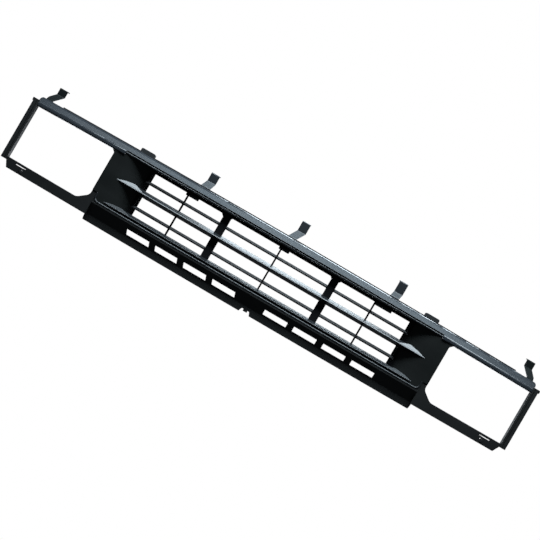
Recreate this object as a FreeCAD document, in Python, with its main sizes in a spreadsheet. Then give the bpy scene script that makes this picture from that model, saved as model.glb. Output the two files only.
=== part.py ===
import FreeCAD, Part
import math
import os
import Sketcher

# Front grille of a pickup truck: a parametric FreeCAD document.
#
# The grille is bowed in plan, so every horizontal member is a section revolved about one
# vertical axis far behind it. +X runs to the right seen from the front, +Y to the rear, +Z up.
# Sections are drawn in depth behind the front line and height above the lower edge, and each
# body is then placed so that the origin is midway between the two lower fixing holes.

VECTOR = FreeCAD.Vector

# Driving dimensions in millimetres.
SIZES = {
    # the bow in plan, the wall of the mouldings and the drawing's reach
    "plan_radius": 4450, "wall": 3, "datum_depth": 82, "reach": 260,
    # top rail
    "rail_half": 725.5, "rail_top": 222.5, "rail_foot": 195, "rail_depth": 35, "rail_brow": 15,
    "rail_nose": 205, "rail_crown": 8, "rail_end_round": 10, "rail_end_top": 219, "rail_lip": 212,
    "groove_top": 206.3, "groove_half": 459, "rib_half": 1,
    "flange_top": 225.6, "flange_half": 671, "flange_foot": 213,
    # recess and its bezel
    "recess_half": 472, "recess_foot": 52.5, "recess_top": 203.5, "recess_round": 14, "bezel_front": 3,
    "bezel_wall": 5.5, "bead": 2.6,
    # headlamp apertures and the frame round them
    "lamp_inner": 485, "lamp_outer": 722, "lamp_foot": 41, "frame_front": 5, "frame_depth": 24,
    "sill_foot": 15, "corner_run": 29, "corner_rise": 22, "sill_end": 712,
    # scoops
    "scoop_flat": 413, "scoop_round": 130, "scoop_front": 28.6, "scoop_edge": 373,
    "scoop_back": 61.3, "cheek_foot": 78,
    # bars
    "nose_depth": 6, "nose_rake": 1.7, "centre_nose": 131, "bar_half": 8.9, "bar_flare": 28,
    "bar_back": 31, "bar_reach": 462, "fin_tip": 446, "lower_nose": 64.4, "lower_top": 71,
    # louvre inserts
    "insert_front": 35, "insert_back": 39, "insert_foot": 48, "insert_top": 211, "insert_half": 391,
    "bay_half": 377, "bay_top": 190.5, "bay_foot": 68, "slat_front": 25,
    "slat_rise": 8.4, "slat_thick": 3.2, "upper_slat": 158.7, "lower_slat": 87.3, "mullion_half": 2.1,
    "mullion_front": 31, "mullion_place": 270.5, "divider_inner": 146, "divider_outer": 166.6,
    "divider_middle": 156.3, "divider_front": 25,
    # apron
    "apron_half": 476, "apron_step": 49, "apron_front": 4, "apron_knee": 18, "apron_back": 22,
    "slot_foot": 22.5, "slot_top": 35.6, "slot_lean": 2, "notch_half": 15.6, "notch_rise": 10,
    "tooth_half": 5.6, "tooth_foot": 5,
    # end posts
    "post_front": 60, "post_back": 82, "post_side": 738, "post_foot": 33, "post_top": 205.6,
    "post_tab": 741, "post_tab_foot": 197.5,
    # fixings
    "hole_place": 670.5, "hole_height": 26.6, "hole_radius": 3.25, "boss_radius": 7, "boss_front": 55,
    "slit_inner": 662.5, "slit_outer": 692.5, "slit_foot": 33.5, "slit_top": 35.3,
    "sheet": 2, "tab_hole": 3.3, "screw_radius": 1.5, "head_radius": 4, "head_rise": 2.4,
    "pad_inner": 394.7, "pad_outer": 434.5, "pad_top": 233, "pad_foot": 219, "pad_back": 56,
}
# Inner and outer ends of the apron's slots, on each side of the centre.
SLOTS = ((42, 107.5), (126, 191), (210, 274), (292, 357))
for number, (inner, outer) in enumerate(SLOTS):
    SIZES[f"slot_inner_{number}"] = inner
    SIZES[f"slot_outer_{number}"] = outer

# Upper brackets, from the left: seat depth, base plate (left, right, foot), the root at the
# rail's top, the kink above it (left, right, height each) and the height of the top flange.
BRACKETS = {
    "bracket_1": (34.87, (-720, -691, 194), (-723.5, -700.5, 220), (-706.5, -682.5, 243), 262),
    "bracket_2": (39, (-278, -242, 184.4), (-256, -230, 226), (-250, -226, 243.7), 267.5),
    "bracket_3": (39, (-7, 22, 184.4), (-1.5, 21.5, 226), (11, 34.5, 249), 277),
    "bracket_4": (39, (270, 319, 184.4), (295, 319, 226), (298.5, 322.5, 239), 270),
    "bracket_5": (34.87, (691, 720, 194), (700.5, 723.5, 220), (682.5, 706.5, 243), 262),
}

doc = FreeCAD.newDocument("front_grille")
sheet = doc.addObject("Spreadsheet::Sheet", "dims")
for row, (alias, number) in enumerate(SIZES.items(), start=1):
    sheet.set(f"A{row}", alias)
    sheet.set(f"B{row}", str(number))
    sheet.setAlias(f"B{row}", alias)
doc.recompute()


def value(formula):
    """The number that a sum of products of sheet names and numbers comes to."""
    total, sign = 0.0, 1
    for word in str(formula).split():
        if word in "+-":
            sign = 1 if word == "+" else -1
            continue
        product = 1.0
        for factor in word.split("*"):
            product *= SIZES[factor] if factor in SIZES else float(factor)
        total, sign = total + sign * product, 1
    return total


def bound(formula):
    """The same formula as a FreeCAD expression that reads the sheet."""
    words = []
    for word in str(formula).split():
        factors = [f"dims.{f}" if f in SIZES else f for f in word.split("*")]
        words.append(" * ".join(factors))
    return " ".join(words)


def drive(item, path, formula):
    item.setExpression(path, bound(formula))


def new_body(name):
    """A body placed so that the origin is at the lower fixing holes' seat."""
    body = doc.addObject("PartDesign::Body", name)
    drive(body, "Placement.Base.y", "-1*datum_depth")
    drive(body, "Placement.Base.z", "-1*hole_height")
    body.AllowCompound = True
    return body


def new_sketch(body, name, role, offset=None):
    sketch = body.newObject("Sketcher::SketchObject", name)
    plane = next(f for f in body.Origin.OriginFeatures if f.Role == role)
    sketch.AttachmentSupport = (plane, [""])
    sketch.MapMode = "FlatFace"
    if offset is not None:
        drive(sketch, "AttachmentOffset.Base.z", offset)
    return sketch


def tangent_points(before, corner, after, radius):
    """Where a fillet of that radius starts and ends, its centre, and whether it turns left."""
    into, out = (corner - before).normalize(), (after - corner).normalize()
    half_turn = into.getAngle(out) / 2
    length = radius * math.tan(half_turn)
    left = into.cross(out).z > 0
    normal = VECTOR(-into.y, into.x, 0) * (1 if left else -1)
    start = corner - into * length
    return start, corner + out * length, start + normal * radius, left


def outline(sketch, corners):
    """A closed outline through corners of (x, y) or (x, y, fillet radius), each a formula."""
    spots = [VECTOR(value(c[0]), value(c[1]), 0) for c in corners]
    count = len(corners)
    ends = []
    for i, corner in enumerate(corners):
        if len(corner) == 3:
            ends.append(tangent_points(spots[i - 1], spots[i], spots[(i + 1) % count], value(corner[2])))
        else:
            ends.append((spots[i], spots[i], None, None))
    lines = []
    for i in range(count):
        segment = Part.LineSegment(ends[i][1], ends[(i + 1) % count][0])
        lines.append(sketch.addGeometry(segment, False))
    for i, corner in enumerate(corners):
        into, out = lines[i - 1], lines[i]
        if ends[i][2] is None:
            sketch.addConstraint(Sketcher.Constraint("Coincident", into, 2, out, 1))
            place_point(sketch, out, 1, corner)
            continue
        start, stop, centre, left = ends[i]
        first, last = (start, stop) if left else (stop, start)
        x_axis = VECTOR(1, 0, 0)
        begin = angle_of(first - centre)
        finish = angle_of(last - centre)
        circle = Part.Circle(centre, VECTOR(0, 0, 1), value(corner[2]))
        arc = sketch.addGeometry(Part.ArcOfCircle(circle, begin, finish), False)
        head, tail = (1, 2) if left else (2, 1)
        sketch.addConstraint(Sketcher.Constraint("Tangent", into, 2, arc, head))
        sketch.addConstraint(Sketcher.Constraint("Tangent", arc, tail, out, 1))
        radius = sketch.addConstraint(Sketcher.Constraint("Radius", arc, value(corner[2])))
        drive(sketch, f"Constraints[{radius}]", corner[2])
        mark = sketch.addGeometry(Part.Point(spots[i]), True)
        sketch.addConstraint(Sketcher.Constraint("PointOnObject", mark, 1, into))
        sketch.addConstraint(Sketcher.Constraint("PointOnObject", mark, 1, out))
        place_point(sketch, mark, 1, corner)


def angle_of(vector):
    return math.atan2(vector.y, vector.x)


def place_point(sketch, geometry, end, corner):
    """Ties a point to the sheet, by its distances from the sketch's origin."""
    for kind, formula in (("DistanceX", corner[0]), ("DistanceY", corner[1])):
        number = sketch.addConstraint(Sketcher.Constraint(kind, -1, 1, geometry, end, value(formula)))
        drive(sketch, f"Constraints[{number}]", formula)


def revolved(name, corners, half, crown="0"):
    """A section swept along the grille's bow, out to half each side of the centre.

    crown leans the axis forward over the 100 mm of its drawn length, so the ends sit lower.
    """
    body = new_body(name)
    sketch = new_sketch(body, name + "_section", "YZ_Plane")
    outline(sketch, corners)
    foot = VECTOR(SIZES["plan_radius"], 0, 0)
    head = foot + VECTOR(value(crown), 100, 0)
    axis = sketch.addGeometry(Part.LineSegment(foot, head), True)
    place_point(sketch, axis, 1, ("plan_radius", "0"))
    place_point(sketch, axis, 2, ("plan_radius + " + crown, "100"))
    doc.recompute()
    turn = body.newObject("PartDesign::Revolution", name + "_sweep")
    turn.Profile = sketch
    turn.ReferenceAxis = (sketch, ["Axis0"])
    turn.Midplane = True
    turn.setExpression("Angle", f"2 * asin(({bound(half)}) / dims.plan_radius)")
    return body


def upright(name, corners, foot, rise):
    """A plan outline raised from foot by rise."""
    body = new_body(name)
    sketch = new_sketch(body, name + "_plan", "XY_Plane", foot)
    outline(sketch, corners)
    doc.recompute()
    pad = body.newObject("PartDesign::Pad", name + "_rise")
    pad.Profile = sketch
    drive(pad, "Length", rise)
    return body


def curtain(name, *outlines):
    """Front outlines, all in one sketch, drawn through the whole depth of the grille."""
    body = new_body(name)
    sketch = new_sketch(body, name + "_front", "XZ_Plane")
    for corners in outlines:
        outline(sketch, corners)
    doc.recompute()
    pad = body.newObject("PartDesign::Pad", name + "_depth")
    pad.Profile = sketch
    pad.Midplane = True
    drive(pad, "Length", "2*reach")
    doc.recompute()
    return body


def box(left, right, low, high, rounding=None):
    corners = [(left, low), (right, low), (right, high), (left, high)]
    return [c + (rounding,) for c in corners] if rounding else corners


def flipped(corners):
    """The same corners on the other side of the centre line, in the same turning sense."""
    return [("-1*" + str(c[0]).replace(" + ", " + -1*").replace(" - ", " - -1*"),) + c[1:]
            for c in reversed(corners)]


def boolean(kind, label, base, tool):
    result = doc.addObject("Part::" + kind, label)
    result.Base = base
    result.Tool = tool
    result.Refine = True
    doc.recompute()
    return result


def common(label, base, tool):
    return boolean("Common", label, base, tool)


def cut(label, base, tool):
    return boolean("Cut", label, base, tool)


def fuse(label, *pieces):
    result = doc.addObject("Part::MultiFuse", label)
    result.Shapes = list(pieces)
    result.Refine = True
    doc.recompute()
    return result


def gather(label, pieces):
    """Separate solids kept in one node."""
    group = doc.addObject("Part::Compound", label)
    group.Links = pieces
    doc.recompute()
    return group


def mirrored(label, source):
    other = doc.addObject("Part::Mirroring", label)
    other.Source = source
    other.Normal = VECTOR(1, 0, 0)
    doc.recompute()
    return other


def spot(x, depth, z):
    """A place on the bow: x at the front line, depth behind it and height; and the way in."""
    radius = SIZES["plan_radius"]
    turn = math.asin(x / radius)
    inner = radius - depth
    place = VECTOR(inner * math.sin(turn), radius - inner * math.cos(turn), z)
    place = place - VECTOR(0, SIZES["datum_depth"], SIZES["hole_height"])
    return place, VECTOR(-math.sin(turn), math.cos(turn), 0)


def cylinder(name, x, front, length, radius):
    """A round bar at the height of the lower fixing holes, straight back from front."""
    bar = doc.addObject("Part::Cylinder", name)
    drive(bar, "Radius", radius)
    drive(bar, "Height", length)
    bar.Placement.Rotation = FreeCAD.Rotation(VECTOR(1, 0, 0), -90)
    bar.Placement.Base.x = x
    drive(bar, "Placement.Base.y", f"{front} - datum_depth")
    return bar


def pin(name, x, depth, z, radius, length):
    """A round bar that starts at depth behind the front line and runs in square to the bow."""
    bar = doc.addObject("Part::Cylinder", name)
    drive(bar, "Radius", radius)
    drive(bar, "Height", length)
    place, way = spot(x, depth, z)
    bar.Placement = FreeCAD.Placement(place, FreeCAD.Rotation(VECTOR(0, 0, 1), way))
    return bar


def button(name, x, seat, z, radius, rise, shank):
    """A low domed head standing on its seat, with a shank driven forward from it."""
    body = pin(name + "_shank", x, seat - shank, z, "screw_radius", str(shank + 0.5))
    edge = pin(name + "_edge", x, seat, z, radius, f"{rise} - 1")
    dome = doc.addObject("Part::Cone", name + "_dome")
    drive(dome, "Radius1", radius)
    drive(dome, "Radius2", f"{radius} - 1.3")
    dome.Height = 1
    place, way = spot(x, seat + value(f"{rise} - 1"), z)
    dome.Placement = FreeCAD.Placement(place, FreeCAD.Rotation(VECTOR(0, 0, 1), way))
    return fuse(name, body, edge, dome)


def screw(name, x, seat, z, length):
    """A pan head screw with a cross recess."""
    blank = button(name + "_blank", x, seat, z, "head_radius", "head_rise", length)
    cross = []
    place, way = spot(x, seat + SIZES["head_rise"] - 1.1, z)
    for wide, tall in ((4.2, 1.0), (1.0, 4.2)):
        arm = doc.addObject("Part::Box", name + "_slot")
        arm.Length, arm.Width, arm.Height = wide, tall, 3
        turn = FreeCAD.Rotation(VECTOR(0, 0, 1), way)
        corner = turn.multVec(VECTOR(-wide / 2, -tall / 2, 0))
        arm.Placement = FreeCAD.Placement(place + corner, turn)
        cross.append(arm)
    return cut(name, blank, gather(name + "_cross", cross))


def bow(x):
    """How far the front line has swept back at x."""
    radius = SIZES["plan_radius"]
    return radius - math.sqrt(radius ** 2 - x ** 2)


def behind(x, depth):
    """How far back a place at x is that lies at a depth behind the front line."""
    radius = SIZES["plan_radius"]
    return radius - math.sqrt((radius - depth) ** 2 - x ** 2)


def edges_at(item, depth):
    """Numbers of the edges that lie all along at that depth behind the front line."""
    found = []
    centre = VECTOR(0, SIZES["plan_radius"] - SIZES["datum_depth"], 0)
    for number, edge in enumerate(item.Shape.Edges, start=1):
        first, last = edge.ParameterRange
        places = [edge.valueAt(first + (last - first) * part / 4) - centre for part in range(5)]
        ways = [SIZES["plan_radius"] - math.hypot(place.x, place.y) for place in places]
        if all(abs(way - value(depth)) < 0.01 for way in ways):
            found.append(number)
    return found


def slab(depth, back, foot, top):
    """The four corners of an upright plate's section."""
    return [(depth, foot), (back, foot), (back, top), (depth, top)]


def both(low, high, foot, top, rounding=None):
    """A box outline on each side of the centre line."""
    right = box(low, high, foot, top, rounding)
    return [right, flipped(right)]


# Envelopes that trim several parts: the opening inside the bezel, the mass of the scoops
# behind their front face, and the two bars filled in.
INNER = ("recess_half - bezel_wall", "recess_foot + bezel_wall", "recess_top - bezel_wall")
inner_corners = box("-1*" + INNER[0].replace(" - ", " + "), INNER[0], INNER[1], INNER[2],
                    "recess_round - bezel_wall")
opening = curtain("opening", inner_corners)
scoop_face = [(INNER[0], "scoop_front"), ("scoop_flat", "scoop_front", "scoop_round"),
              ("scoop_edge", "scoop_back")]
scoop_mass = upright("scoop_mass", scoop_face + [("scoop_edge", "130"), (INNER[0], "130")], "40", "175")
scoop_masses = gather("scoop_masses", [scoop_mass, mirrored("scoop_mass_left", scoop_mass)])

bar_corners = [
    ("nose_depth", "centre_nose - 0.8", 1), ("nose_depth + nose_rake", "centre_nose + 2.1", 1.2),
    ("bar_flare", "centre_nose + bar_half"), ("bar_back", "centre_nose + bar_half"),
    ("bar_back", "centre_nose - bar_half"), ("bar_flare", "centre_nose - bar_half"),
]
centre_fill = revolved("centre_fill", bar_corners, "bar_reach")
lower_corners = [
    ("nose_depth", "lower_nose - 1.4", 1), ("nose_depth + 0.5*nose_rake", "lower_nose + 0.6", 0.8),
    ("bar_flare", "lower_top"), ("insert_front", "lower_top"), ("insert_front", INNER[1]),
    ("nose_depth + 9", INNER[1]),
]
lower_fill = revolved("lower_fill", lower_corners, "bar_reach")

# Top rail: a brow open at the back, cut away over the recess and ribbed inside.
rail_corners = [
    ("rail_depth", "rail_top"), ("rail_brow", "rail_top", 12), ("0", "rail_nose", 7),
    ("0", "rail_foot", "wall"),
    ("rail_depth", "rail_foot"), ("rail_depth", "rail_foot + wall"), ("wall", "rail_foot + wall"),
    ("wall", "rail_nose - 1.1"), ("rail_brow + 1.4", "rail_top - wall"),
    ("rail_depth - wall", "rail_top - wall"),
    ("rail_depth - wall", "rail_lip"), ("rail_depth", "rail_lip"),
]
rail_sweep = revolved("rail_sweep", rail_corners, "rail_half + 10", "rail_crown")
rib_corners = [
    ("wall", "rail_foot + wall"), ("wall", "rail_nose - 1.1"), ("rail_brow + 1.4", "rail_top - wall"),
    ("rail_depth - 5", "rail_top - wall"), ("rail_depth - 5", "rail_foot + wall"),
]
rib_sweep = revolved("rib_sweep", rib_corners, "rail_half", "rail_crown")
rib_strips = []
for place in (62, 186, 300, 420, 545, 640):
    rib_strips += both(f"{place} - rib_half", f"{place} + rib_half", "150", "240")
rail_ribs = common("rail_ribs", rib_sweep, curtain("rib_curtain", *rib_strips))
rail_front = [
    ("lamp_outer", "170"), ("lamp_outer", "rail_end_top - 13"), ("rail_half", "rail_end_top - 13"),
    ("rail_half", "rail_end_top", "rail_end_round"), ("600", "rail_end_top + 10"),
]
rail_front += flipped(rail_front)
rail_whole = fuse("rail_whole", rail_sweep, rail_ribs)
rail_trim = common("rail_trim", rail_whole, curtain("rail_front", rail_front))
notch = curtain("notch", box("-1*groove_half", "groove_half", "150", "groove_top"))
back_notch = upright("back_notch", [
    ("-1*recess_half", "scoop_front + wall"), ("recess_half", "scoop_front + wall"), ("recess_half", "100"),
    ("-1*recess_half", "100")], "150", "groove_top - 150")
top_rail = cut("top_rail", rail_trim, fuse("rail_notches", notch, back_notch))

# Strip along the rear edge of the rail, interrupted by the locating pads.
pad_room = curtain("pad_room", *both("pad_inner - 0.3", "pad_outer + 0.3", "pad_foot", "260"))
flange_sweep = revolved("flange_sweep", slab("insert_front", "insert_back", "flange_foot", "flange_top"),
                        "flange_half", "rail_crown")
rear_flange = cut("rear_flange", flange_sweep, pad_room)

# Bezel: a sleeve round the recess with a rounded front bead, open at the cheeks, and a stop
# behind the groove.
sleeve_sweep = revolved("sleeve_sweep", slab("bezel_front", "insert_front", "40", "230"), "500")
bezel_corners = box("-1*recess_half", "recess_half", "recess_foot", "recess_top", "recess_round")
sleeve_front = curtain("sleeve_front", bezel_corners, inner_corners)
sleeve_square = common("sleeve_square", sleeve_sweep, sleeve_front)
sleeve = doc.addObject("Part::Fillet", "sleeve")
sleeve.Base = sleeve_square
sleeve.Edges = [(number, SIZES["bead"], SIZES["bead"]) for number in edges_at(sleeve_square, "bezel_front")]
doc.recompute()
stop_sweep = revolved("stop_sweep", slab("insert_front - 4", "insert_front", "recess_top - 1.5",
                                         "rail_lip - 2.6"), "recess_half - 0.4")
cheek_plan = [("groove_half", "-10"), ("recess_half + 5", "-10"), ("recess_half + 5", "scoop_front + wall"),
              ("groove_half", "scoop_front + wall")]
cheek_room = upright("cheek_room", cheek_plan, "cheek_foot", "rail_lip - cheek_foot")
cheek_rooms = gather("cheek_rooms", [cheek_room, mirrored("cheek_room_left", cheek_room)])
recess_bezel = cut("recess_bezel", fuse("bezel_whole", sleeve, stop_sweep), cheek_rooms)

# Scoops: thin curved cheeks from the headlamp aperture in to the louvres, under the rail's ends
# and inside the bezel's lower corners.
cheek_edge = "lamp_inner + 8"
scoop_shell = [
    (cheek_edge, "scoop_front"), ("scoop_flat", "scoop_front", "scoop_round"),
    ("scoop_edge", "scoop_back"), ("scoop_edge - 1.8", "scoop_back + 2.4"),
    ("scoop_flat - 1", "scoop_front + wall", "scoop_round - wall"),
    (cheek_edge, "scoop_front + wall"),
]
scoop_outline = [
    ("300", INNER[1]), (INNER[0], INNER[1], "recess_round - bezel_wall"), (INNER[0], "cheek_foot"),
    ("lamp_inner", "cheek_foot"), ("lamp_inner", "rail_foot - 10", 5), (cheek_edge, "rail_foot - 2.4"),
    (cheek_edge, INNER[2]), ("300", INNER[2]),
]
scoop_plain = common("scoop_plain", upright("scoop_shell", scoop_shell, "40", "175"),
                     curtain("scoop_outline", scoop_outline))
rail_filled = revolved("rail_filled", [("-5", "rail_foot"), ("rail_depth", "rail_foot"),
                                       ("rail_depth", "rail_top"), ("-5", "rail_top")], "520", "rail_crown")
rail_end_room = curtain("rail_end_room", box("groove_half", "520", "150", "240"))
scoop_right = cut("scoop_right", scoop_plain, common("rail_over_scoop", rail_filled, rail_end_room))
scoop_left = mirrored("scoop_left", scoop_right)

# Bars: wedges open at the back, whose ends run out on the scoops as pointed fins. A steep web
# stands on each fin and blends it into the scoop.
def fin_webs(name, nose, lift, rake, rise, crest, root):
    """The webs on both ends of a bar, rise above its nose half way along and crest at the top."""
    sweep = revolved(name + "_web_sweep", [
        (f"nose_depth + {rake}", f"{nose} + {lift}"), ("nose_depth + 9.5", f"{nose} + {crest} + 1"),
        ("bar_back", f"{nose} + {crest} + 1"), ("bar_back", f"{nose} + {lift}")], "bar_reach")
    front = [("scoop_edge", nose), ("fin_tip + 3", nose), ("425", f"{nose} + {rise}", 40),
             ("398", f"{nose} + {crest}", 25), ("scoop_edge", f"{nose} + {root}")]
    return common(name + "_webs", sweep, curtain(name + "_web_front", front, flipped(front)))


centre_hollow = revolved("centre_hollow", [
    ("bar_back + 1", "centre_nose - bar_half + 2.5"), ("bar_flare", "centre_nose - bar_half + 2.5"),
    ("nose_depth + 6", "centre_nose - 0.6"), ("nose_depth + 6", "centre_nose + 0.6"),
    ("bar_flare", "centre_nose + bar_half - 2.5"), ("bar_back + 1", "centre_nose + bar_half - 2.5"),
], "bar_reach + 5")
fins = curtain("fins", box("-1*fin_tip", "fin_tip", INNER[1], INNER[2]))
centre_webs = fin_webs("centre", "centre_nose", 1.5, "nose_rake", 7, 12.3, 3.5)
centre_trim = common("centre_trim", fuse("centre_webbed", centre_fill, centre_webs), fins)
centre_bar = cut("centre_bar", cut("centre_solid", centre_trim, scoop_masses), centre_hollow)
lower_hollow = revolved("lower_hollow", [
    ("insert_front - 1", INNER[1] + " + 2.5"), ("insert_front - 1", "lower_top - 2.5"),
    ("bar_flare", "lower_top - 2.5"), ("nose_depth + 8", "lower_nose + 1"),
    ("nose_depth + 8", "lower_nose - 0.5"), ("nose_depth + 14", INNER[1] + " + 2.5"),
], "bay_half")
lower_webs = fin_webs("lower", "lower_nose", 0.1, "0.5*nose_rake", 5.5, 8.4, 3)
lower_trim = common("lower_trim", fuse("lower_webbed", lower_fill, lower_webs), fins)
lower_bar = cut("lower_bar", cut("lower_solid", lower_trim, scoop_masses), lower_hollow)

# Dividers between the louvre inserts: channels open at the back, passing behind the bars.
bars = gather("bars", [centre_fill, lower_fill])
divider_sweep = revolved("divider_sweep", slab("divider_front", "insert_front", "40", "230"), "200")
divider_front = curtain("divider_front", box("divider_inner", "divider_outer", INNER[1], INNER[2]))
divider_hollow = common(
    "divider_hollow",
    revolved("divider_inside", slab("divider_front + wall", "insert_front + 1", "50", "220"), "200"),
    curtain("divider_gap", box("divider_inner + wall", "divider_outer - wall", "50", "220")))
divider_block = common("divider_block", divider_sweep, divider_front)
divider_right = cut("divider_right", cut("divider_shell", divider_block, divider_hollow), bars)
divider_left = mirrored("divider_left", divider_right)

# Louvre inserts: a framed plate with raked slats and a thin upright in each bay.
def bay(low, high, left_clip, right_clip):
    """A window's outline with its upper corners clipped."""
    return [(low, "bay_foot"), (high, "bay_foot"), (high, f"bay_top - {right_clip}"),
            (f"{high} - {right_clip}", "bay_top"), (f"{low} + {left_clip}", "bay_top"),
            (low, f"bay_top - {left_clip}")]


windows = curtain("windows", bay("-1*divider_inner", "divider_inner", 3, 5),
                  bay("divider_outer", "bay_half", 5, 7), bay("-1*bay_half", "-1*divider_outer", 7, 8))
plate = revolved("plate", slab("insert_front", "insert_back", "insert_foot", "insert_top"), "insert_half")
insert_plate = cut("insert_plate", plate, windows)
slats = []
for name in ("upper_slat", "lower_slat"):
    slat_corners = [("slat_front", name), ("insert_back", f"{name} + slat_rise - slat_thick"),
                    ("insert_back", f"{name} + slat_rise"), ("slat_front", f"{name} + slat_thick")]
    slats.append(revolved(name + "_sweep", slat_corners, "bay_half + 6"))
mullion_sweep = revolved("mullion_sweep",
                         slab("mullion_front", "insert_back", "bay_foot - 4", "bay_top + 4"),
                         "bay_half")
mullion_strips = [box("-1*mullion_half", "mullion_half", "50", "210")]
mullion_strips += both("mullion_place - mullion_half", "mullion_place + mullion_half", "50", "210")
mullions = common("mullions", mullion_sweep, curtain("mullion_front_strips", *mullion_strips))
louvres = fuse("louvres", insert_plate, *slats, mullions)
louvres_clear = cut("louvres_clear", louvres, gather("insert_neighbours", [
    common("divider_room", divider_sweep, curtain("divider_pair", *both(
        "divider_inner", "divider_outer", "40", "230"))), scoop_masses, lower_fill]))
inserts = {}
for name, low, high in (("left", "-1*insert_half - 20", "-1*divider_middle"),
                        ("centre", "-1*divider_middle", "divider_middle"),
                        ("right", "divider_middle", "insert_half + 20")):
    third = curtain(f"third_{name}", box(low, high, "30", "240"))
    inserts[name] = common(f"insert_{name}_plain", louvres_clear, third)

# Apron: a wall that leans back below a step, slotted and notched, with ribs behind it.
apron_corners = [
    ("apron_front", "recess_foot"), ("apron_front", "apron_step", 1), ("apron_back", "apron_knee", 4),
    ("apron_back", "0"), ("apron_back + wall", "0"), ("apron_back + wall", "apron_knee + 1", 7),
    ("apron_front + wall", "apron_step + 0.5"), ("insert_front - 3", "apron_step + 0.5"),
    ("insert_front - 3", "recess_foot"),
]
apron_sweep = revolved("apron_sweep", apron_corners, "apron_half + 10")
apron_rib_corners = [
    ("apron_back + wall", "2"), ("apron_back + wall", "apron_knee + 1", 7),
    ("apron_front + wall", "apron_step + 0.5"), ("apron_back + 8", "apron_step + 0.5"),
    ("apron_back + 8", "2"),
]
apron_strips = []
for place in (24, 117, 200.5, 283, 367, 420, 466):
    apron_strips += both(f"{place} - rib_half", f"{place} + rib_half", "-5", "60")
apron_ribs = common("apron_ribs", revolved("apron_rib_sweep", apron_rib_corners, "apron_half"),
                    curtain("apron_rib_curtain", *apron_strips))
half_outline = [
    ("tooth_half", "notch_rise"), ("notch_half - 5", "notch_rise", 1.5), ("notch_half - 1", "0", 1.5),
    ("apron_half - 2", "0", 3), ("apron_half", "sill_foot"), ("recess_half", "sill_foot"),
    ("recess_half", "60"),
]
apron_outline = [("tooth_half", "tooth_foot")] + half_outline
apron_outline += flipped(half_outline) + [("-1*tooth_half", "tooth_foot")]
slots = []
for number in range(len(SLOTS)):
    low, high = f"slot_inner_{number}", f"slot_outer_{number}"
    slots.append([(low, "slot_foot", 1), (high, "slot_foot", 1), (high, "slot_top", 1),
                  (low, "slot_top", 1)])
    slots.append([(f"-1*{high} + slot_lean", "slot_foot", 1), (f"-1*{low} + slot_lean", "slot_foot", 1),
                  (f"-1*{low} - slot_lean", "slot_top", 1), (f"-1*{high} - slot_lean", "slot_top", 1)])
apron_front = curtain("apron_outline", apron_outline, *slots)
apron = common("lower_apron", fuse("apron_whole", apron_sweep, apron_ribs), apron_front)

# Frame below and inboard of each headlamp: a ledge with a rim turned back behind it.
frame_outline = [
    ("recess_half", "sill_foot"), ("sill_end", "sill_foot", 2), ("lamp_outer", "post_foot"),
    ("lamp_outer", "lamp_foot"), ("lamp_inner + corner_run", "lamp_foot", 26),
    ("lamp_inner", "lamp_foot + corner_rise", 16), ("lamp_inner", "rail_foot - 10", 5),
    ("lamp_inner + 8", "rail_foot - 2.4"), ("recess_half", "rail_foot - 2.4"),
]
frame_inset = [
    ("recess_half + wall", "sill_foot + wall"), ("sill_end - 2", "sill_foot + wall"),
    ("lamp_outer - wall", "post_foot + 1"), ("lamp_outer - wall", "lamp_foot - wall"),
    ("lamp_inner + corner_run + 1", "lamp_foot - wall", 29),
    ("lamp_inner - wall", "lamp_foot + corner_rise - 1", 19), ("lamp_inner - wall", "rail_foot - 5.4"),
    ("recess_half + wall", "rail_foot - 5.4"),
]
frame_sweep = revolved("frame_sweep", slab("frame_front", "frame_front + frame_depth", "5", "205"), "740")
frame_inside = revolved("frame_inside", slab("frame_front + wall", "frame_front + frame_depth + 5",
                                             "5", "205"), "745")
frame_block = common("frame_block", frame_sweep, curtain("frame_front_outline", frame_outline))
frame_hollow = common("frame_hollow", frame_inside, curtain("frame_inset", frame_inset))
frame_shell = cut("frame_shell", frame_block, frame_hollow)
boss = cylinder("boss", SIZES["hole_place"], "boss_front", "datum_depth - boss_front", "boss_radius")
fixing_hole = cylinder("fixing_hole", SIZES["hole_place"], "30", "60", "hole_radius")
slit_gap = curtain("slit_gap", box("slit_inner", "slit_outer", "slit_foot", "slit_top", 0.8))
slit_sweep = revolved("slit_sweep", slab("0", "frame_front + wall + 1", "5", "60"), "740")
slit = common("slit", slit_sweep, slit_gap)
gusset_corners = [("recess_half", "recess_foot"), ("recess_half", "recess_foot + 9.5"),
                  ("recess_half - 10", "recess_foot")]
gusset = cut("gusset", common("gusset_block", frame_sweep, curtain("gusset_front", gusset_corners)),
             curtain("bezel_filled", bezel_corners))
lamp_frame_right = cut("lamp_frame_right", fuse("frame_bossed", frame_shell, gusset, boss),
                       gather("frame_openings", [fixing_hole, slit, scoop_right]))
lamp_frame_left = mirrored("lamp_frame_left", lamp_frame_right)

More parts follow.
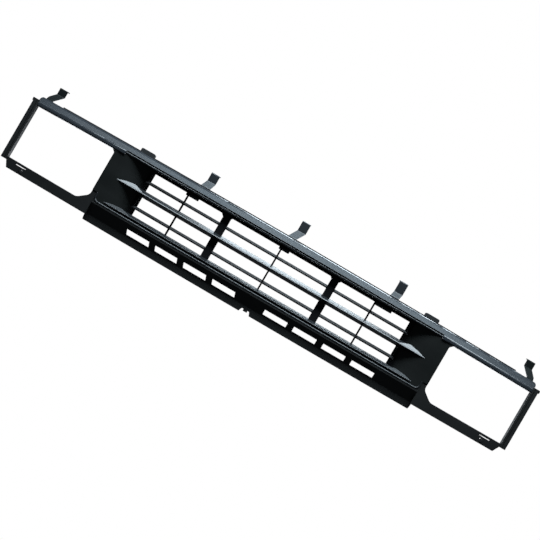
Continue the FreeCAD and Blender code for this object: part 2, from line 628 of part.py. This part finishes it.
# End posts: upright channels with a sunk line down the face, capped, with a tab at the top.
post_plan = [
    ("lamp_outer", "post_front"), ("lamp_outer + 5", "post_front"), ("lamp_outer + 5", "post_front + 2"),
    ("lamp_outer + 7", "post_front + 2"), ("lamp_outer + 7", "post_front"),
    ("post_side", "post_front", 1.5), ("post_side", "post_back"), ("post_side - wall", "post_back"),
    ("post_side - wall", "post_front + 5"), ("lamp_outer + wall", "post_front + 5"),
    ("lamp_outer + wall", "post_back"), ("lamp_outer", "post_back"),
]
cap_plan = [("lamp_outer", "post_front + 2"), ("post_side - 1", "post_front + 2"),
            ("post_side - 1", "post_back"), ("lamp_outer", "post_back")]
tab_plan = [("lamp_outer", "post_front + 2"), ("post_tab", "post_front + 2"),
            ("post_tab", "post_back - 3", 3), ("post_side - 2", "post_back - 3"),
            ("lamp_outer", "post_back - 3")]
post_right = fuse("end_post_right", upright("post_channel", post_plan, "post_foot", "post_top - post_foot"),
                  upright("post_cap", cap_plan, "post_foot", "wall"),
                  upright("post_lug", tab_plan, "post_tab_foot", "post_top - post_tab_foot"))
post_left = mirrored("end_post_left", post_right)

# Locating pads: rubber blocks seated on the rear edge of the rail.
pad_sweep = revolved("pad_sweep", slab("insert_front", "pad_back", "pad_foot", "240"), "470")
pads = {}
for side, corners in zip(("right", "left"), both("pad_inner", "pad_outer", "pad_foot", "pad_top")):
    turned = [c + (4,) if c[1] == "pad_top" else c for c in corners]
    pads[side] = common("locating_pad_" + side, pad_sweep, curtain("pad_front_" + side, turned))

# Upper brackets: bent steel strips riveted behind the rail, each with a drilled top flange.
brackets, rivets, tab_holes = {}, [], {}
for name, (seat, base, root, kink, top) in BRACKETS.items():
    upper = root[2] if root[2] > 220 else 216
    rise = kink[2] - upper
    bend = seat + rise * 0.85
    back = bend + 21
    sheet_corners = [
        (f"{seat}", f"{base[2]}"), (f"{seat}", f"{upper}", 3), (f"{bend}", f"{kink[2]}", 3),
        (f"{bend}", f"{top}", 2.5), (f"{back}", f"{top}"), (f"{back}", f"{top} - sheet"),
        (f"{bend} + sheet", f"{top} - sheet", 0.6), (f"{bend} + sheet", f"{kink[2]} - 0.6", 1.2),
        (f"{seat} + sheet", f"{upper} - 0.6", 5), (f"{seat} + sheet", f"{base[2]}"),
    ]
    height, shoulder = (204, 208) if seat == 39 else (212, 215)
    front = [
        (base[0], base[2], 2), (base[1], base[2], 2), (base[1], shoulder), (root[1], root[2]),
        (kink[1], kink[2], 4), (kink[1], top + 9), (kink[0], top + 9), (kink[0], kink[2], 4),
        (root[0], root[2]), (base[0], shoulder),
    ]
    bent = common(name + "_bent", revolved(name + "_strip", sheet_corners, "rail_half"),
                  curtain(name + "_outline", front))
    middle = (kink[0] + kink[1]) / 2
    place = VECTOR(middle, behind(middle, bend + 11) - SIZES["datum_depth"], top - 5 - SIZES["hole_height"])
    hole = doc.addObject("Part::Cylinder", name + "_hole")
    drive(hole, "Radius", "tab_hole")
    hole.Height = 20
    hole.Placement.Base = place
    tab_holes[name] = (place.x, place.y, place.z + 5)
    pair = []
    centre = (base[0] + base[1]) / 2
    for number, shift in enumerate((-8, 8)):
        label = f"{name}_rivet_{number}"
        pair.append(button(label, centre + shift, seat + 2, height, "head_radius", "head_rise", 5))
    rivets += pair
    brackets[name] = cut(name, bent, gather(name + "_holes", [hole] + pair))
    brackets[name].Refine = False

# Fasteners at the back: louvre inserts to the bezel, and the strip to the rail.
insert_screws = []
for number, x in enumerate((75, 135, 185, 350)):
    for side in (-1, 1):
        for level, z in (("top", 201), ("foot", 55.2)):
            label = f"insert_screw_{number}_{level}_{'left' if side < 0 else 'right'}"
            insert_screws.append(screw(label, side * x, SIZES["insert_back"], z, 12))
strip_screws = []
for number, x in enumerate((110, 210, 350, 480, 600)):
    for side in (-1, 1):
        label = f"strip_screw_{number}_{'left' if side < 0 else 'right'}"
        height = 217 - SIZES["rail_crown"] / 100 * bow(x)
        strip_screws.append(screw(label, side * x, SIZES["insert_back"], height, 7))

rivet_group = gather("bracket_rivets", rivets)
insert_screw_group = gather("insert_screws", insert_screws)
strip_screw_group = gather("strip_screws", strip_screws)
fasteners = gather("fastener_room", [rivet_group, insert_screw_group, strip_screw_group])


def drilled(label, piece):
    """The piece with room for every fastener that passes through it."""
    result = cut(label + "_drilled", piece, fasteners)
    result.Label = label
    return result


top_rail.Label = "rail_undrilled"
recess_bezel.Label = "bezel_undrilled"
nodes = [
    drilled("top_rail", top_rail), drilled("rear_strip", rear_flange),
    drilled("recess_bezel", recess_bezel),
    scoop_left, scoop_right, centre_bar, lower_bar, divider_left, divider_right,
    drilled("insert_left", inserts["left"]), drilled("insert_centre", inserts["centre"]),
    drilled("insert_right", inserts["right"]), apron, lamp_frame_left, lamp_frame_right,
    post_left, post_right, pads["left"], pads["right"],
] + list(brackets.values()) + [rivet_group, insert_screw_group, strip_screw_group]

doc.recompute()
failed = [o.Label for o in doc.Objects if "Invalid" in o.State or "Error" in o.State]
failed += [o.Label for o in nodes if o.Shape.isNull() or not o.Shape.isValid()]
if failed:
    raise RuntimeError("these objects failed: " + ", ".join(failed))
os.makedirs("parts", exist_ok=True)
for node in nodes:
    node.Shape.exportStep(f"parts/{node.Label}.step")
    print(node.Label, len(node.Shape.Solids), round(node.Shape.Volume))
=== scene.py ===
import math

import bpy
from mathutils import Matrix, Vector


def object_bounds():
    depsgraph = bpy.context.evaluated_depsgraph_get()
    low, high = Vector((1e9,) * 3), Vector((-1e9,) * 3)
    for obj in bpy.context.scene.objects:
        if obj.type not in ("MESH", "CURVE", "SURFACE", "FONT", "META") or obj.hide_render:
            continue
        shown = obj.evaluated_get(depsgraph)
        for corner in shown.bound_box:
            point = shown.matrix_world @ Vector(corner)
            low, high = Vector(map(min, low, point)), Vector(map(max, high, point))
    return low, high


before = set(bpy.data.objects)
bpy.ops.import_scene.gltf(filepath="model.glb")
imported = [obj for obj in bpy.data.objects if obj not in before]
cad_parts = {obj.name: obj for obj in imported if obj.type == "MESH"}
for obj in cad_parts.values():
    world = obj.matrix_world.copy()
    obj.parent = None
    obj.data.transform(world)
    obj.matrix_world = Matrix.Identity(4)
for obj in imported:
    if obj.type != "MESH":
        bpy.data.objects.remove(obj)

cad_box = [list(map(float, corner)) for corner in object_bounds()]
scene = bpy.context.scene
scene.view_settings.view_transform = "Standard"

# ---------------------------------------------------------------- materials


class Finish:
    """A material's node tree, with short calls to add and join nodes."""

    def __init__(self, name):
        self.material = bpy.data.materials.new(name)
        self.material.use_nodes = True
        self.tree = self.material.node_tree
        self.shader = self.tree.nodes["Principled BSDF"]
        self.place = self.add("ShaderNodeTexCoord").outputs["Object"]

    def add(self, kind, **settings):
        node = self.tree.nodes.new(kind)
        for key, setting in settings.items():
            setattr(node, key, setting)
        return node

    def join(self, source, target):
        self.tree.links.new(source, target)

    def feed(self, **sources):
        """Joins outputs to the shader's inputs; an underscore in a keyword stands for a space."""
        for socket, source in sources.items():
            self.join(source, self.shader.inputs[socket.replace("_", " ")])

    def fix(self, socket, setting):
        self.shader.inputs[socket].default_value = setting

    def noise(self, scale, detail=3.0, stretch=None):
        """Noise in metres of the object, scale counted per metre."""
        node = self.add("ShaderNodeTexNoise")
        node.inputs["Scale"].default_value = scale
        node.inputs["Detail"].default_value = detail
        if stretch:
            mapping = self.add("ShaderNodeMapping")
            mapping.inputs["Scale"].default_value = stretch
            self.join(self.place, mapping.inputs["Vector"])
            self.join(mapping.outputs["Vector"], node.inputs["Vector"])
        else:
            self.join(self.place, node.inputs["Vector"])
        return node.outputs["Fac"]

    def spread(self, source, low, high, start=0.3, stop=0.7):
        """The source mapped from start..stop to low..high."""
        node = self.add("ShaderNodeMapRange")
        node.inputs["From Min"].default_value = start
        node.inputs["From Max"].default_value = stop
        node.inputs["To Min"].default_value = low
        node.inputs["To Max"].default_value = high
        self.join(source, node.inputs["Value"])
        return node.outputs["Result"]

    def product(self, first, second):
        node = self.add("ShaderNodeMath", operation="MULTIPLY")
        self.join(first, node.inputs[0])
        self.join(second, node.inputs[1])
        return node.outputs["Value"]

    def blend(self, factor, first, second):
        """Between two colours, each a triple or another node's output."""
        node = self.add("ShaderNodeMix", data_type="RGBA")
        self.join(factor, node.inputs["Factor"])
        for colour, socket in ((first, node.inputs["A"]), (second, node.inputs["B"])):
            if isinstance(colour, tuple):
                socket.default_value = (*colour, 1.0)
            else:
                self.join(colour, socket)
        return node.outputs["Result"]

    def bump(self, height, distance, strength, normal):
        node = self.add("ShaderNodeBump")
        node.inputs["Distance"].default_value = distance
        node.inputs["Strength"].default_value = strength
        self.join(height, node.inputs["Height"])
        self.join(normal, node.inputs["Normal"])
        return node.outputs["Normal"]

    def rounded(self, radius):
        """The surface normal with its edges eased by radius."""
        bevel = self.add("ShaderNodeBevel", samples=4)
        bevel.inputs["Radius"].default_value = radius
        return bevel.outputs["Normal"]

    def edges(self, eased):
        """A mask that is 1 along the edges, where the eased normal leaves the true one."""
        flat = self.add("ShaderNodeNewGeometry").outputs["Normal"]
        dot = self.add("ShaderNodeVectorMath", operation="DOT_PRODUCT")
        self.join(eased, dot.inputs[0])
        self.join(flat, dot.inputs[1])
        return self.spread(dot.outputs["Value"], 1.0, 0.0, start=0.78, stop=0.99)


def scaled(colour, factor, lift=0.0):
    return tuple(channel * factor + lift for channel in colour)


def moulded(name, colour, worn, gloss, grain, edge_radius=0.0006, specular=0.5):
    """Moulded plastic or rubber: fine grain, slow gloss and tone changes, rubbed edges, dust.

    gloss is the least and greatest roughness; grain is its count per metre and its depth.
    """
    finish = Finish(name)
    normal = finish.rounded(edge_radius)

    cloud = finish.spread(finish.noise(9.0, 4.0), 0.0, 1.0)
    dust = finish.spread(finish.noise(38.0, 5.0), 0.0, 0.35, start=0.55, stop=0.85)
    patches = finish.spread(finish.noise(60.0, 4.0), 0.0, 0.55, start=0.42, stop=0.7)
    tone = finish.blend(cloud, scaled(colour, 0.72), colour)
    tone = finish.blend(dust, tone, scaled(colour, 1.7, lift=0.002))
    tone = finish.blend(finish.product(finish.edges(normal), patches), tone, worn)

    flow = finish.spread(finish.noise(5.0, 2.0, stretch=(0.4, 3.0, 3.0)), *gloss)
    grain_count, grain_depth = grain
    grained = finish.bump(finish.noise(grain_count, 2.0), grain_depth, 0.3, normal)
    waved = finish.bump(finish.noise(120.0, 2.0), 0.0004, 0.12, grained)
    finish.feed(Base_Color=tone, Roughness=flow, Normal=waved)
    finish.fix("Specular IOR Level", specular)
    return finish.material


def coated_steel(name, colour, worn, specular=0.5):
    """Steel strip under a thin semi-gloss coat, with chipped edges and a slight orange peel."""
    finish = Finish(name)
    normal = finish.rounded(0.0007)
    flakes = finish.spread(finish.noise(260.0, 5.0), 0.0, 1.0, start=0.55, stop=0.66)
    chips = finish.product(finish.edges(normal), flakes)
    cloud = finish.spread(finish.noise(24.0, 4.0), 0.0, 1.0)
    tone = finish.blend(cloud, scaled(colour, 0.75), colour)
    finish.feed(Base_Color=finish.blend(chips, tone, worn),
                Metallic=finish.spread(chips, 0.0, 0.8, start=0.0, stop=1.0),
                Roughness=finish.spread(finish.noise(15.0, 3.0), 0.3, 0.42),
                Normal=finish.bump(finish.noise(420.0, 2.0), 0.0002, 0.25, normal))
    finish.fix("Specular IOR Level", specular)
    return finish.material


def plated_steel(name, colour, tint):
    """Zinc plated or plain steel fasteners with faint mottling and a fine tooth."""
    finish = Finish(name)
    normal = finish.rounded(0.0003)
    mottle = finish.spread(finish.noise(300.0, 4.0), 0.0, 1.0)
    finish.feed(Base_Color=finish.blend(mottle, tint, colour),
                Roughness=finish.spread(finish.noise(500.0, 3.0), 0.28, 0.5),
                Normal=finish.bump(finish.noise(900.0, 2.0), 0.0001, 0.3, normal))
    finish.fix("Metallic", 1.0)
    return finish.material


# The rail's colour is partly its own satin black and partly a painted cool reflection: it is
# lighter and bluer than the bezel to echo the cool softbox above.
RAIL_WITH_PAINTED_SHEEN = moulded("rail_satin_black_painted_sheen", (0.021, 0.025, 0.030), worn=(0.060, 0.066, 0.074),
               gloss=(0.25, 0.34), grain=(2600.0, 0.00002))
SATIN = moulded("bezel_satin_black", (0.014, 0.016, 0.018), worn=(0.050, 0.054, 0.060),
                gloss=(0.23, 0.31), grain=(2600.0, 0.00002))
SCOOP = moulded("scoop_satin_black", (0.0060, 0.0072, 0.0068), worn=(0.040, 0.044, 0.045),
                gloss=(0.42, 0.54), grain=(1800.0, 0.00008), specular=0.25)
GRAINED = moulded("louvre_grained_black", (0.004, 0.004, 0.005), worn=(0.016, 0.017, 0.018),
                  gloss=(0.60, 0.75), grain=(1400.0, 0.00012), specular=0.12)
MATTE = moulded("lower_matte_black", (0.012, 0.0125, 0.0125), worn=(0.042, 0.043, 0.045),
                gloss=(0.46, 0.60), grain=(1300.0, 0.00012), specular=0.26)
RUBBER = moulded("pad_rubber", (0.012, 0.013, 0.014), worn=(0.035, 0.036, 0.038),
                 gloss=(0.55, 0.7), grain=(900.0, 0.0002), edge_radius=0.0015, specular=0.35)
STEEL = coated_steel("bracket_coated_steel", (0.013, 0.016, 0.019), worn=(0.33, 0.33, 0.34))
# A darker, less glossy copy of the bracket steel for the two end brackets: painted shade where
# the light falls off towards the ends, not a different steel.
SHADED_END_STEEL = coated_steel("bracket_steel_painted_shade", (0.007, 0.009, 0.009), worn=(0.24, 0.24, 0.24),
                          specular=0.18)
RIVET = plated_steel("rivet_steel", (0.34, 0.34, 0.35), tint=(0.22, 0.21, 0.20))
ZINC = plated_steel("screw_zinc", (0.52, 0.53, 0.55), tint=(0.40, 0.38, 0.33))

WEARS = {
    "top_rail": RAIL_WITH_PAINTED_SHEEN, "recess_bezel": SATIN, "centre_bar": SATIN, "lower_bar": SATIN,
    "scoop_left": SCOOP, "scoop_right": SCOOP, "rear_strip": MATTE, "lower_apron": MATTE,
    "lamp_frame_left": MATTE, "lamp_frame_right": MATTE, "end_post_left": MATTE,
    "end_post_right": MATTE, "locating_pad_left": RUBBER, "locating_pad_right": RUBBER,
    "insert_left": GRAINED, "insert_centre": GRAINED, "insert_right": GRAINED,
    # bracket_1 and bracket_5 take the darker steel copy, which is painted shade for the light
    # falling off at the ends.
    "divider_left": GRAINED, "divider_right": GRAINED, "bracket_1": SHADED_END_STEEL,
    "bracket_2": STEEL, "bracket_3": STEEL, "bracket_4": STEEL, "bracket_5": SHADED_END_STEEL,
    "bracket_rivets": RIVET, "insert_screws": ZINC, "strip_screws": ZINC,
}
for name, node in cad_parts.items():
    node.data.materials.clear()
    node.data.materials.append(WEARS[name])

# ---------------------------------------------------------------- stage

BACKDROP_RADIUS = 9.0
FLOOR_RADIUS = 4.0
FLOOR_GAP = 0.002


def studio_white(name):
    """Even white that only the camera sees."""
    finish = Finish(name)
    finish.fix("Base Color", (0.0, 0.0, 0.0, 1.0))
    finish.fix("Specular IOR Level", 0.0)
    finish.fix("Emission Color", (1.0, 1.0, 1.0, 1.0))
    finish.fix("Emission Strength", 1.0)
    return finish.material


lowest = Vector(cad_box[0])
bpy.ops.mesh.primitive_uv_sphere_add(segments=64, ring_count=32, radius=BACKDROP_RADIUS,
                                     location=(0, 0, 0))
backdrop = bpy.context.object
backdrop.name = "backdrop"
bpy.ops.mesh.primitive_circle_add(vertices=64, radius=FLOOR_RADIUS, fill_type="NGON",
                                  location=(0, 0, lowest.z - FLOOR_GAP))
floor = bpy.context.object
floor.name = "floor"
for piece in (backdrop, floor):
    piece.data.materials.append(studio_white(piece.name + "_white"))
    piece.visible_diffuse = False
    piece.visible_glossy = False
    piece.visible_transmission = False
    piece.visible_shadow = False

world = bpy.data.worlds.new("studio")
world.use_nodes = True
background = world.node_tree.nodes["Background"]
background.inputs["Color"].default_value = (0.80, 0.90, 1.0, 1.0)
background.inputs["Strength"].default_value = 0.07
scene.world = world

# ---------------------------------------------------------------- lights

DAYLIGHT = (0.80, 0.92, 1.0)
COOL = (0.62, 0.86, 1.0)
PALE = (0.90, 0.95, 1.0)


def softbox(name, place, aim, size, watts, colour):
    """A rectangular light at place, turned to aim, that the camera doesn't see."""
    light = bpy.data.lights.new(name, "AREA")
    light.shape = "RECTANGLE"
    light.size, light.size_y = size
    light.energy = watts
    light.color = colour
    lamp = bpy.data.objects.new(name, light)
    scene.collection.objects.link(lamp)
    lamp.location = place
    lamp.rotation_euler = (Vector(aim) - Vector(place)).to_track_quat("-Z", "Y").to_euler()
    lamp.visible_camera = False


softbox("overhead", (0.14, -0.08, 1.30), (0.14, -0.03, 0.15), (1.60, 0.50), 3.2, COOL)
softbox("key", (-0.04, -0.62, 1.28), (-0.04, -0.03, 0.13), (2.30, 0.50), 60.0, DAYLIGHT)
softbox("rear", (0.04, 0.95, 1.35), (0.04, 0.0, 0.15), (0.80, 0.60), 26.0, DAYLIGHT)
softbox("rear_fill", (0.0, 2.20, -0.25), (0.0, 0.0, 0.10), (2.40, 0.50), 12.0, PALE)

# ---------------------------------------------------------------- camera

LEAN = math.radians(30.23)
YAW = math.radians(1.8)
REACH = 3.0
WIDTH = 1.351
SENSOR = 36.0
target = Vector((0.0024, -0.05, 0.1004))
right = Vector((math.cos(YAW), math.sin(YAW), 0.0))
up = Vector((0.0, 0.0, 1.0))
back = right.cross(up)
across = right * math.cos(LEAN) + up * math.sin(LEAN)
upward = up * math.cos(LEAN) - right * math.sin(LEAN)
lens = bpy.data.cameras.new("camera")
lens.sensor_width = SENSOR
lens.lens = SENSOR * REACH / WIDTH
lens.clip_end = 50.0
camera = bpy.data.objects.new("camera", lens)
scene.collection.objects.link(camera)
turn = Matrix((across, upward, back)).transposed()
camera.matrix_world = Matrix.Translation(target + back * REACH) @ turn.to_4x4()
scene.camera = camera
